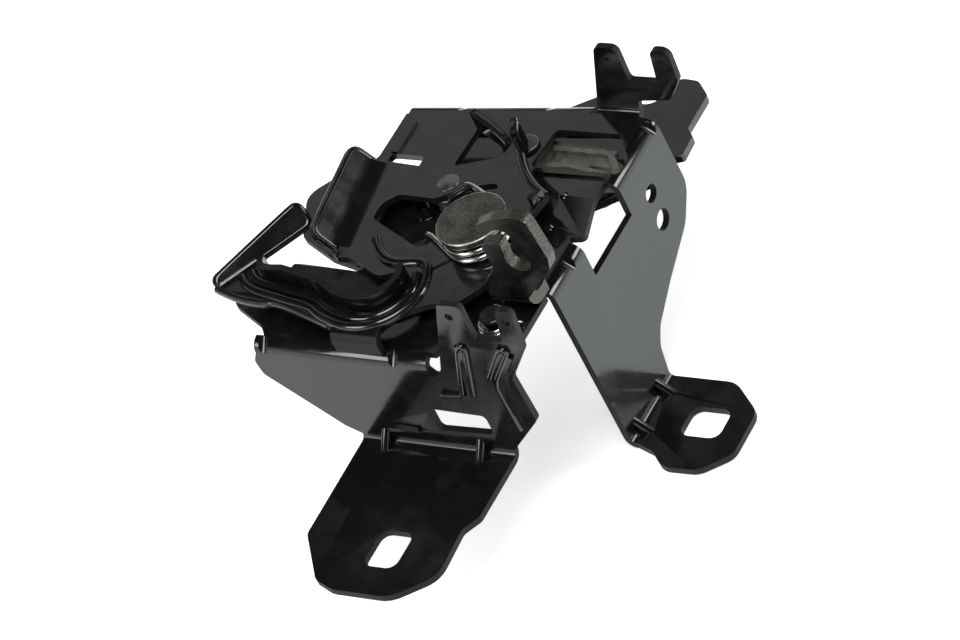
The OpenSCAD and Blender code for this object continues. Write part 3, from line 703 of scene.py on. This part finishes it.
class LipFrame:
    """Place of a lip: along its foot, up its face and through its sheet, in millimetres."""

    def __init__(self, ends, heights, lean, held_from, bend, ease):
        first, last = (Vector(end) for end in ends)
        self.along = (last - first).normalized()
        self.across = Vector((-self.along.y, self.along.x))
        self.start = first + LIP_INSET * self.along
        self.length = (last - first).length - 2 * LIP_INSET
        self.heights = heights
        self.lean = math.radians(lean)
        self.held_from = held_from
        self.bend = bend
        self.ease = ease

    def flat(self, u, y, z):
        place = self.start + u * self.along + y * self.across
        return Vector((place.x, place.y, z)) / 1000

    def at(self, u, v, w):
        y = LIP_SINK - v * math.sin(self.lean) - w * math.cos(self.lean)
        return self.flat(u, y, LIP_ROOT + v * math.cos(self.lean) - w * math.sin(self.lean))


class LATCH_OT_ridges(Operator):
    """Narrow ridges pressed in the front leg"""

    bl_idname = "latch.ridges"
    bl_label = "Leg ridges"

    def execute(self, context):
        beads = context.scene.latch_beads
        material = finish_material(context, black_paint)
        for name, line in LEG_RIDGES.items():
            out = Vector((0, beads.ridge_out, 0))
            sunk = Vector((0, RIDGE_SUNK / 1000, 0))
            face = [point - out for point in metres((x, LEG_FACE, z) for x, z in line)]
            ends = [face[0] + sunk, *face, face[-1] + sunk]
            round_bar(name, eased(ends, RIDGE_EASE), beads.ridge, material)
        return {"FINISHED"}


class LATCH_OT_lips(Operator):
    """Rolled rims of the lips, tabs and free edges, and the bends at the lips' feet"""

    bl_idname = "latch.lips"
    bl_label = "Rolled lips"

    def execute(self, context):
        beads = context.scene.latch_beads
        material = finish_material(context, black_paint)
        for name, row in LIPS.items():
            lip = LipFrame(**row)
            self.rim(name, lip, beads.rim, material)
            self.foot(name, lip, lip.bend * beads.fillet * 1000, material)
        edge = smooth_line(metres(FRONT_EDGE), 4)
        middle = at_height(line_beside(edge, -RIM_INSET * beads.rim), MOUTH_TOP - SHEET / 2000)
        round_bar("front_rim", middle, beads.rim, material)
        edge = smooth_line(metres(REAR_EDGE), 4)
        middle = at_height(line_beside(edge, -beads.rim), MOUTH_TOP - beads.rear_sunk)
        round_bar("rear_rim", middle, beads.rim, material)
        for name, (line, foot, top) in TABS.items():
            self.tab(name, [Vector(point) for point in line], foot, top, beads.rim, material)
        return {"FINISHED"}

    def tab(self, name, line, foot, top, radius, material):
        inset = RIM_INSET * radius * 1000
        line[0] = line[0] + inset * (line[1] - line[0]).normalized()
        line[-1] = line[-1] + inset * (line[-2] - line[-1]).normalized()
        ends = [(*line[0], foot), *((*point, top - inset) for point in line), (*line[-1], foot)]
        round_bar(name + "_rim", eased(metres(ends), TAB_EASE), radius, material)

    def rim(self, name, lip, radius, material):
        inset = RIM_INSET * radius * 1000
        middle = -SHEET / 2
        far, (first_h, last_h) = lip.length - inset, lip.heights
        start = LIP_RIM_START
        corners = [(far, start), (far, last_h - inset), (inset, first_h - inset), (inset, start)]
        if lip.held_from:
            corners[-1:] = [(inset, inset), (lip.held_from - BEND_GAP, inset)]
        line = eased([lip.at(u, v, middle) for u, v in corners], lip.ease)
        round_bar(name + "_rim", line, radius, material)

    def foot(self, name, lip, radius, material):
        """Hollow bend between the plate and the lip's inner face."""
        top = MOUTH_TOP * 1000
        rise = (top - LIP_ROOT - SHEET * math.sin(lip.lean)) / math.cos(lip.lean)
        corner = LIP_SINK + SHEET * math.cos(lip.lean) - rise * math.sin(lip.lean)
        turn = math.pi / 2 - lip.lean
        reach = radius * math.tan(turn / 2)
        section = [(corner - BEND_BEHIND, top - BEND_UNDER), (corner + reach, top - BEND_UNDER)]
        for step in range(BEND_STEPS + 1):
            angle = turn * step / BEND_STEPS
            y = corner + reach - radius * math.sin(angle)
            section.append((y, top + radius - radius * math.cos(angle)))
        back, down = BEND_IN_LIP
        section.append((section[-1][0] - back, section[-1][1] - down))
        u = lip.held_from + BEND_GAP
        shape = bmesh.new()
        face = shape.faces.new([shape.verts.new(lip.flat(u, y, z)) for y, z in section])
        grown = bmesh.ops.extrude_face_region(shape, geom=[face])
        moved = [item for item in grown["geom"] if isinstance(item, bmesh.types.BMVert)]
        run = lip.length - BEND_GAP - u
        bmesh.ops.translate(shape, vec=run / 1000 * lip.along.to_3d(), verts=moved)
        bmesh.ops.recalc_face_normals(shape, faces=shape.faces)
        mesh = bpy.data.meshes.new(name + "_foot")
        shape.to_mesh(mesh)
        shape.free()
        mesh.materials.append(material)
        for polygon in mesh.polygons:
            polygon.use_smooth = True
        mesh.set_sharp_from_angle(angle=SHARP_FROM)
        piece = added(name + "_foot", mesh)
        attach(piece, "frame")


class LATCH_OT_beads(Operator):
    """Smooth double bead that follows the striker mouth"""

    bl_idname = "latch.beads"
    bl_label = "Mouth beads"

    def execute(self, context):
        beads = context.scene.latch_beads
        material = finish_material(context, black_paint)
        edge = smooth_line(metres(MOUTH_EDGE), 5)[3:]
        jaw = metres(JAW_RIDGE)
        height = MOUTH_TOP - beads.sunk
        inner = line_beside(edge, beads.inner_gap)
        outer = line_beside(edge, beads.outer_gap)[:-2] + jaw
        round_bar("mouth_bead_inner", at_height(inner, height), beads.radius, material)
        round_bar("mouth_bead_outer", at_height(outer, height), beads.radius, material)
        return {"FINISHED"}


def lamp(name, place, size, watts):
    data = bpy.data.lights.new(name, "AREA")
    data.shape = "RECTANGLE"
    data.size, data.size_y = size
    data.energy = watts
    obj = added(name, data)
    obj.location = place
    obj.rotation_euler = (Vector(LAMP_TARGET) - Vector(place)).to_track_quat("-Z", "Y").to_euler()


def seen_white(tree):
    """1 for what the camera, a mirror or glass sees straight, and 0 for light on surfaces."""
    path = tree.nodes.new("ShaderNodeLightPath")
    total = path.outputs["Is Camera Ray"]
    for name in ("Is Glossy Ray", "Is Transmission Ray"):
        add = tree.nodes.new("ShaderNodeMath")
        add.operation = "MAXIMUM"
        tree.links.new(total, add.inputs[0])
        tree.links.new(path.outputs[name], add.inputs[1])
        total = add.outputs["Value"]
    return total


class LATCH_OT_stage(Operator):
    """Pale floor, soft studio light and the photograph's camera"""

    bl_idname = "latch.stage"
    bl_label = "Studio"

    def execute(self, context):
        scene = context.scene
        stage = scene.latch_stage
        scene.view_settings.view_transform = "Standard"
        self.floor(stage)
        self.world(scene)
        for name, (place, size) in LAMPS.items():
            lamp(name, place, size, getattr(stage, name))
        self.camera(scene, stage)
        return {"FINISHED"}

    def floor(self, stage):
        low = CAD_BOX[0][2] - stage.floor_drop
        shape = bmesh.new()
        bmesh.ops.create_grid(shape, x_segments=1, y_segments=1, size=stage.floor / 2)
        bmesh.ops.translate(shape, vec=(0, 0, low), verts=shape.verts)
        mesh = bpy.data.meshes.new("floor")
        shape.to_mesh(mesh)
        shape.free()
        floor = added("floor", mesh)
        material, tree, surface = shader("pale_floor")
        surface.inputs["Base Color"].default_value = (0.86, 0.86, 0.86, 1)
        surface.inputs["Roughness"].default_value = 0.9
        glow = spread(tree, seen_white(tree), 0, 1, 0, FLOOR_GLOW)
        tree.links.new(glow, surface.inputs["Emission Strength"])
        self.mirrored_tone(tree, surface, stage)
        mesh.materials.append(material)
        floor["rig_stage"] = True

    def mirrored_tone(self, tree, surface, stage):
        """The floor glows white to the camera, and in mirrors it is dimmer in front of the leg."""
        place = tree.nodes.new("ShaderNodeTexCoord")
        split = tree.nodes.new("ShaderNodeSeparateXYZ")
        tree.links.new(place.outputs["Object"], split.inputs["Vector"])
        total = tree.nodes.new("ShaderNodeMath")
        tree.links.new(split.outputs["X"], total.inputs[0])
        tree.links.new(split.outputs["Y"], total.inputs[1])
        side = spread(tree, total.outputs["Value"], *FLOOR_TONE, 0, 1)
        path = tree.nodes.new("ShaderNodeLightPath")
        seen = tree.nodes.new("ShaderNodeMix")
        seen.data_type = "RGBA"
        seen.inputs["A"].default_value = (1, 1, 1, 1)
        tree.links.new(path.outputs["Is Glossy Ray"], seen.inputs["Factor"])
        tree.links.new(mixed(tree, side, stage.floor_left, stage.floor_right), seen.inputs["B"])
        tree.links.new(seen.outputs["Result"], surface.inputs["Emission Color"])

    def world(self, scene):
        world = bpy.data.worlds.new("studio")
        scene.world = world
        world.use_nodes = True
        tree = world.node_tree
        back = tree.nodes["Background"]
        back.inputs["Color"].default_value = (1, 1, 1, 1)
        # Reflections see the white backdrop near the horizon and a dim studio ceiling above it
        place = tree.nodes.new("ShaderNodeTexCoord")
        split = tree.nodes.new("ShaderNodeSeparateXYZ")
        tree.links.new(place.outputs["Generated"], split.inputs["Vector"])
        ceiling = spread(tree, split.outputs["Z"], *FADE, HORIZON, CEILING)
        path = tree.nodes.new("ShaderNodeLightPath")
        seen = tree.nodes.new("ShaderNodeMix")
        tree.links.new(path.outputs["Is Glossy Ray"], seen.inputs["Factor"])
        tree.links.new(spread(tree, seen_white(tree), 0, 1, SOFT_LIGHT, HORIZON), seen.inputs["A"])
        tree.links.new(ceiling, seen.inputs["B"])
        tree.links.new(seen.outputs["Result"], back.inputs["Strength"])

    def camera(self, scene, stage):
        data = bpy.data.cameras.new("photo_camera")
        data.sensor_width = SENSOR
        data.lens = stage.lens
        data.clip_start, data.clip_end = CLIP
        obj = added("photo_camera", data)
        up = CAMERA_BACK.cross(CAMERA_RIGHT)
        turn = Matrix((CAMERA_RIGHT, up, CAMERA_BACK)).transposed().to_4x4()
        turn.translation = CAMERA_PLACE
        obj.matrix_world = turn
        scene.camera = obj


class LATCH_PT_panel(Panel):
    """Sizes and finishes of the bonnet latch"""

    bl_idname = "LATCH_PT_panel"
    bl_label = "Bonnet latch"
    bl_space_type = "VIEW_3D"
    bl_region_type = "UI"
    bl_category = "Latch"

    def draw(self, context):
        for name, group in GROUPS.items():
            for key in group.__annotations__:
                self.layout.prop(getattr(context.scene, name), key)
        for operator in OPERATORS:
            self.layout.operator(operator.bl_idname)


GROUPS = {
    "latch_finish": LatchFinish,
    "latch_edges": LatchEdges,
    "latch_beads": LatchBeads,
    "latch_stage": LatchStage,
}
OPERATORS = (
    LATCH_OT_pressings,
    LATCH_OT_catch,
    LATCH_OT_steel,
    LATCH_OT_casting,
    LATCH_OT_springs,
    LATCH_OT_beads,
    LATCH_OT_ridges,
    LATCH_OT_lips,
    LATCH_OT_stage,
)


def register():
    for cls in (*GROUPS.values(), *OPERATORS, LATCH_PT_panel):
        bpy.utils.register_class(cls)
    for name, group in GROUPS.items():
        setattr(bpy.types.Scene, name, PointerProperty(type=group))


def unregister():
    for name in GROUPS:
        delattr(bpy.types.Scene, name)
    for cls in (LATCH_PT_panel, *reversed(OPERATORS), *reversed(GROUPS.values())):
        bpy.utils.unregister_class(cls)


def corners(box):
    return [[float(x) for x in corner] for corner in box]


def main():
    register()
    bpy.ops.latch.pressings()
    bpy.ops.latch.catch()
    bpy.ops.latch.steel()
    bpy.ops.latch.casting()
    bpy.ops.latch.springs()
    bpy.ops.latch.beads()
    bpy.ops.latch.ridges()
    bpy.ops.latch.lips()
    bpy.ops.latch.stage()
    {"cad": corners(CAD_BOX), "visual": corners(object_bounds())}


if __name__ == "__main__":
    main()
